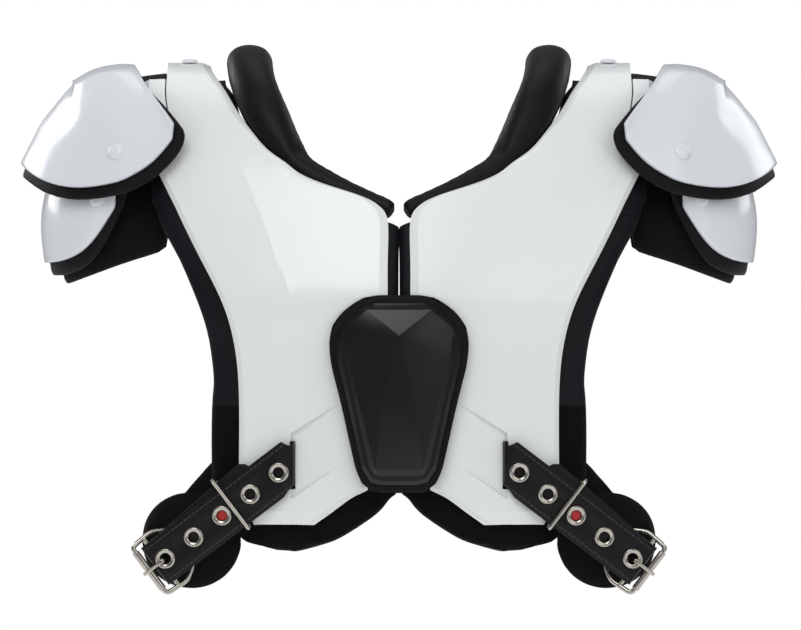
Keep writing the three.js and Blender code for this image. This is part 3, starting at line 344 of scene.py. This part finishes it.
def puffed(piece, voxel, limit):
    scene = bpy.context.scene
    evenMesh(piece, voxel)
    moveAlongNormals(piece, -swelling["shrink"] * limit)
    start = [v.co.copy() for v in piece.data.vertices]
    cloth = piece.modifiers.new("swell", "CLOTH")
    cloth.settings.use_pressure = True
    cloth.settings.uniform_pressure_force = swelling["pressure"]
    cloth.settings.effector_weights.gravity = 0.0
    cloth.settings.mass = swelling["mass"]
    for step in range(1, swelling["frames"] + 1):
        scene.frame_set(step)
    blown = piece.evaluated_get(bpy.context.evaluated_depsgraph_get()).data
    ends = [v.co.copy() for v in blown.vertices]
    piece.modifiers.remove(cloth)
    for vertex, before, after in zip(piece.data.vertices, start, ends):
        move = after - before
        if move.length > limit:
            move *= limit / move.length
        vertex.co = before + move
    scene.frame_set(1)
    modifier = piece.modifiers.new("roundOff", "SUBSURF")
    modifier.levels = modifier.render_levels = 1
    bpy.ops.object.modifier_apply(modifier=modifier.name)
    bpy.ops.object.shade_smooth()
    print("swelled", piece.name, len(piece.data.polygons), "faces")


def mirrored(piece, name):
    mesh = piece.data.copy()
    mesh.name = name
    mesh.transform(Matrix.Scale(-1, 4, (1, 0, 0)))
    mesh.flip_normals()
    twin = bpy.data.objects.new(name, mesh)
    bpy.context.scene.collection.objects.link(twin)
    return twin


def stands(piece, nodeName, body="pad"):
    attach(piece, body)
    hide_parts(nodeName)


# A piece shaped on the right stands there, and its mirror image on the left
def bothSides(made, base, pieceBase, body=None):
    for piece, side in ((made, "right"), (mirrored(made, f"{pieceBase}.left"), "left")):
        stands(piece, f"{base}_{side}", f"{body}_{side}" if body else "pad")


def smoothStep(low, high, value):
    t = min(1.0, max(0.0, (value - low) / (high - low)))
    return t * t * (3 - 2 * t)


# Moulded folds of the chest: a level fold across it, and a shallow recess between two
# slanting folds that run from the breastbone plate to the belt's slot; (x, z) in metres.
# The slanting cuts reach as far as reach in x and stay under top; front is where the face starts
folds = {"level": -0.1262, "rise": 0.0022, "above": 0.045, "below": 0.06, "crisp": 0.0007,
         "upper": ((0.0404, -0.1931), (0.0665, -0.2095)), "lower": ((0.0368, -0.2283), (0.0684, -0.2496)),
         "depth": 0.0027, "fadeFrom": 0.03, "fadeTo": 0.056, "slotEdge": 0.0655,
         "reach": 0.09, "top": -0.15, "front": -0.03}


def foldedChest(piece):
    lines = []
    for key in ("upper", "lower"):
        start, end = folds[key]
        along = Vector((end[0] - start[0], 0, end[1] - start[1])).normalized()
        lines.append((Vector((start[0], 0, start[1])), Vector((-along.z, 0, along.x))))
    work = bmesh.new()
    work.from_mesh(piece.data)
    cuts = [(Vector((0, 0, folds["level"] + shift)), Vector((0, 0, 1)), None)
            for shift in (-folds["crisp"], 0, folds["crisp"])]
    for point, normal in lines:
        for shift in (-folds["crisp"], folds["crisp"]):
            cuts.append((point + normal * shift, normal, folds["reach"]))
    for point, normal, reach in cuts:
        faces = []
        for face in work.faces:
            middle = face.calc_center_median()
            if middle.y < 0 and (reach is None or middle.x < reach and middle.z < folds["top"]):
                faces.append(face)
        edges = {e for f in faces for e in f.edges}
        verts = {v for f in faces for v in f.verts}
        bmesh.ops.bisect_plane(work, geom=list(verts) + list(edges) + faces, dist=0.00002,
                               plane_co=point, plane_no=normal)
    for vertex in work.verts:
        x, y, z = vertex.co
        if y > folds["front"]:
            continue
        height = z - folds["level"]
        span = folds["above"] if height > 0 else folds["below"]
        out = folds["rise"] * max(0.0, 1 - abs(height) / span)
        below = (lines[0][0] - vertex.co).dot(lines[0][1])
        over = (vertex.co - lines[1][0]).dot(lines[1][1])
        crisp = folds["crisp"]
        dip = smoothStep(-crisp, crisp, below) * smoothStep(-crisp, crisp, over)
        dip *= smoothStep(folds["fadeFrom"], folds["fadeTo"], x) if x < folds["slotEdge"] else 0.0
        vertex.co.y += folds["depth"] * dip - out
    work.to_mesh(piece.data)
    work.free()
    piece.data.update()


# White shells: the rim stays crisp and the faces between the folds run smooth
shells = {
    "chest_plate": {"name": "chestPlate", "material": whitePlastic, "levels": 3,
                    "creases": [(35, 0.75), (60, 0.88)], "rim": 1.0, "folded": True, "sharp": 14},
    "back_plate": {"name": "backPlate", "material": whitePlastic, "levels": 2,
                   "creases": [(35, 0.75), (60, 0.88)], "rim": 1.0, "sharp": 14},
    "upper_cap": {"name": "shoulderCap", "material": capPlastic, "levels": 3,
                  "creases": [(22, 0.45), (32, 0.7), (60, 0.85)]},
    "lower_cup": {"name": "armCup", "material": capPlastic, "levels": 3,
                  "creases": [(35, 0.6), (60, 0.85)]},
}


def shellPiece(nodeName, pieceName, settings):
    piece = copyOf(nodeName, pieceName, settings["material"])
    creaseByAngle(piece, settings["creases"])
    if "rim" in settings:
        creaseRim(piece, settings["rim"])
    subdivided(piece, settings["levels"])
    if settings.get("folded"):
        foldedChest(piece)
    if "sharp" in settings:
        selectOnly(piece)
        bpy.ops.object.shade_smooth_by_angle(angle=radians(settings["sharp"]))
    return piece


for base, settings in shells.items():
    made = shellPiece(f"{base}_right", f"{settings['name']}.right", settings)
    bothSides(made, base, settings["name"])
print("white shells made")


# Rivet heads: low moulded domes
rivets = {"cap_rivet": "capRivet", "cup_rivet": "cupRivet", "arch_rivet": "archRivet"}
rivetShape = {"material": capPlastic, "levels": 2, "creases": [(55, 0.5)]}
for base, name in rivets.items():
    made = shellPiece(f"{base}_right", f"{name}.right", rivetShape)
    bothSides(made, base, name)
print("rivets made")


# Foam pads under fabric; only the neck roll is full enough to swell
padShape = {"levels": 2, "creases": [(50, 0.35)]}
pads = {
    "front_liner": {"name": "frontLiner", "material": linerNylon, "fill": 0.7},
    "back_liner": {"name": "backLiner", "material": linerNylon, "fill": 0.7},
    "neck_roll": {"name": "neckRoll", "material": rollNylon, "fill": 0.75, "swell": 0.0055, "voxel": 0.003},
    "upper_cap_pad": {"name": "shoulderCapPad", "material": rimNylon, "fill": 0.8},
    "lower_cup_pad": {"name": "armCupPad", "material": rimNylon, "fill": 0.8},
    "deltoid_pad": {"name": "upperArmPad", "material": liningNylon, "fill": 0.7},
    "buckle_guard": {"name": "buckleGuard", "material": liningNylon, "fill": 0.6},
}
for base, settings in pads.items():
    made = copyOf(f"{base}_right", f"{settings['name']}.right", settings["material"])
    creaseByAngle(made, padShape["creases"])
    subdivided(made, padShape["levels"])
    if "swell" in settings:
        puffed(made, settings["voxel"], settings["swell"])
    bothSides(made, base, settings["name"])
print("pads made")


# Breastbone plate on its soft rim. The pad's upright corners are rounded: an edge counts as
# upright when it runs at least this share of its length in y, and starts behind the front face
breastbone = {"upright": 0.3, "behind": 0.0005, "corner": 0.013, "steps": 6,
              "padEdge": (0.0011, 4, 30), "plateEdge": (0.0012, 3, 9), "fill": 0.7}


def roundCorners(piece, settings):
    work = bmesh.new()
    work.from_mesh(piece.data)
    frontFace = min(v.co.y for v in work.verts) + settings["behind"]
    corners = []
    for edge in work.edges:
        depths = [v.co.y for v in edge.verts]
        if abs(depths[0] - depths[1]) > settings["upright"] * edge.calc_length() and min(depths) > frontFace:
            corners.append(edge)
    bmesh.ops.bevel(work, geom=corners, offset=settings["corner"], segments=settings["steps"],
                    affect="EDGES", profile=0.5, clamp_overlap=True)
    work.to_mesh(piece.data)
    work.free()


rim = copyOf("sternum_pad", "breastbonePad", rimNylon, toQuads=False)
roundCorners(rim, breastbone)
roundEdges(rim, *breastbone["padEdge"])
stands(rim, "sternum_pad")
plate = copyOf("sternum_plate", "breastbonePlate", blackPlastic, toQuads=False)
roundEdges(plate, *breastbone["plateEdge"])
stands(plate, "sternum_plate")
print("breastbone plate made")


# Webbing: hinge strips and the band across the back. Each has a map for its stitches, whose
# across is shortened or drawn out so that the rows fall beside the strip's own edges
strips = {"creases": [(40, 0.9)], "levels": 1}
bandMap = {"origin": (0, 0.118, -0.146), "along": (1, 0, 0), "across": (0, 0, 0.78)}
hingeMap = {"origin": (0.155, 0, 0), "along": (1, 0, 0), "across": (0, 0.72, 0)}


def webbingPiece(nodeName, pieceName):
    piece = copyOf(nodeName, pieceName, webbing)
    creaseByAngle(piece, strips["creases"])
    subdivided(piece, strips["levels"])
    return piece


def addBeltMap(piece, origin, along, across):
    layer = piece.data.uv_layers.get("beltPlace") or piece.data.uv_layers.new(name="beltPlace")
    for loop in piece.data.loops:
        offset = piece.data.vertices[loop.vertex_index].co - Vector(origin)
        layer.data[loop.index].uv = (offset.dot(Vector(along)), offset.dot(Vector(across)))


band = webbingPiece("back_band", "backBand")
addBeltMap(band, **bandMap)
stands(band, "back_band")
strap = webbingPiece("cap_hinge_right", "capHinge.right")
addBeltMap(strap, **hingeMap)
bothSides(strap, "cap_hinge", "capHinge")

# Belts: their own frame runs from the last eyelet, along the belt and across it
beltMap = {"origin": (0.14186, -0.09948, -0.28447), "along": (0.78805, 0.13633, -0.60034),
           "across": (0.6060, 0.0, 0.79547)}
beltEdge = (0.0004, 2, 50)
belt = copyOf("belt_right", "belt.right", webbing, toQuads=False)
roundEdges(belt, *beltEdge)
addBeltMap(belt, **beltMap)
bothSides(belt, "belt", "belt")

# A dark disc under the first eyelet, the only one with no second layer of belt below it,
# paints the shade inside that eyelet's hole; its map is drawn in so that no stitch falls on it
shadeDisc = {"radius": 0.0066, "thick": 0.0005, "below": 0.0027, "back": 0.0872, "sides": 32,
          "edge": (0.0001, 2, 50), "map": 0.2}
along, across = Vector(beltMap["along"]), Vector(beltMap["across"])
out = along.cross(across)
if out.y > 0:
    out = -out
middle = Vector(beltMap["origin"]) - along * shadeDisc["back"] - out * shadeDisc["below"]
bpy.ops.object.select_all(action="DESELECT")
bpy.ops.mesh.primitive_cylinder_add(vertices=shadeDisc["sides"], radius=shadeDisc["radius"], depth=shadeDisc["thick"])
disc = bpy.context.active_object
disc.name = "eyeletShadeDisc.right"
disc.data.materials.append(webbing)
disc.data.transform(Matrix.Translation(middle) @ out.to_track_quat("Z", "X").to_matrix().to_4x4())
roundEdges(disc, *shadeDisc["edge"])
addBeltMap(disc, middle, along * shadeDisc["map"], across * shadeDisc["map"])
for piece in (disc, mirrored(disc, "eyeletShadeDisc.left")):
    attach(piece, "pad")
print("belts made")


# Wire pieces are evened out with small cubes, then smoothed and set back to their thickness
wire = {"voxel": 0.0003, "polish": 8, "thicken": 0.00016}


def evenWire(piece, settings):
    evenMesh(piece, settings["voxel"])
    smooth = piece.modifiers.new("polished", "SMOOTH")
    smooth.factor = 0.5
    smooth.iterations = settings["polish"]
    bpy.ops.object.modifier_apply(modifier=smooth.name)
    moveAlongNormals(piece, settings["thicken"])
    bpy.ops.object.shade_smooth()


# Nickel fittings
fittings = {
    "keeper": {"name": "keeperLoop"},
    "buckle_frame": {"name": "buckleFrame"},
    "buckle_roller": {"name": "buckleRoller", "levels": 2, "creases": [(50, 0.85)], "body": "roller"},
    "buckle_prong": {"name": "bucklePin", "levels": 2, "creases": [(50, 0.6)], "body": "prong"},
}
for index in range(1, 6):
    fittings[f"grommet_{index}"] = {"name": f"eyelet{index}", "levels": 2, "creases": [(60, 0.4)]}
for base, settings in fittings.items():
    made = copyOf(f"{base}_right", f"{settings['name']}.right", nickel)
    if "creases" in settings:
        creaseByAngle(made, settings["creases"])
        subdivided(made, settings["levels"])
    else:
        evenWire(made, wire)
    bothSides(made, base, settings["name"], body=settings.get("body"))
for side in ("right", "left"):
    dot = nodes[f"red_marker_{side}"]
    dot.data.materials.clear()
    dot.data.materials.append(redPlastic)
print("fittings made")


# Plain pale floor, a white room and soft studio light
floor = {"size": 5.0, "z": -0.62}
bpy.ops.object.select_all(action="DESELECT")
bpy.ops.mesh.primitive_plane_add(size=floor["size"], location=(0, 0, floor["z"]))
ground = bpy.context.active_object
ground.name = "floor"
groundMaterial, _, shader, _ = newMaterial("paleFloorPaint")
shader.inputs["Base Color"].default_value = linear("#f4f4f4")
shader.inputs["Roughness"].default_value = 0.8
ground.data.materials.append(groundMaterial)

world = bpy.data.worlds.new("whiteRoom")
bpy.context.scene.world = world
world.use_nodes = True
worldTree = world.node_tree
worldTree.nodes.clear()
worldOutput = worldTree.nodes.new("ShaderNodeOutputWorld")
# The camera sees the room pure white; its light is softer, and it mirrors dimly in gloss, so
# that black pieces stay black
room = {"air": (0.98, 0.99, 1, 1), "light": 0.52, "mirrored": 0.16}
seen = addNode(worldTree, "ShaderNodeBackground", {"Color": (1, 1, 1, 1), "Strength": 1.0})
light = addNode(worldTree, "ShaderNodeBackground", {"Color": room["air"], "Strength": room["light"]})
mirror = addNode(worldTree, "ShaderNodeBackground", {"Color": room["air"], "Strength": room["mirrored"]})
path = addNode(worldTree, "ShaderNodeLightPath")
unseen = addNode(worldTree, "ShaderNodeMixShader", {}, {
    0: path.outputs["Is Glossy Ray"], 1: light.outputs[0], 2: mirror.outputs[0]})
mix = addNode(worldTree, "ShaderNodeMixShader", {}, {
    0: path.outputs["Is Camera Ray"], 1: unseen.outputs[0], 2: seen.outputs[0]})
worldTree.links.new(mix.outputs[0], worldOutput.inputs[0])
bpy.context.scene.view_settings.view_transform = "Standard"

target = (0, 0, -0.13)
lamps = {
    "keyLamp": {"place": (-0.35, -1.75, 1.3), "size": 1.2, "watts": 14},
    "fillLamp": {"place": (1.2, -1.6, 0.5), "size": 1.2, "watts": 4},
    "topLamp": {"place": (0.0, 0.3, 1.5), "size": 1.0, "watts": 4},
    "rimLampRight": {"place": (1.3, 0.9, 0.5), "size": 0.8, "watts": 5},
    "rimLampLeft": {"place": (-1.3, 0.9, 0.5), "size": 0.8, "watts": 9},
}
for name, lamp in lamps.items():
    data = bpy.data.lights.new(name, "AREA")
    data.size = lamp["size"]
    data.energy = lamp["watts"]
    holder = bpy.data.objects.new(name, data)
    holder.location = lamp["place"]
    holder.rotation_euler = (Vector(target) - Vector(lamp["place"])).to_track_quat("-Z", "Y").to_euler()
    bpy.context.scene.collection.objects.link(holder)
print("room and lamps made")
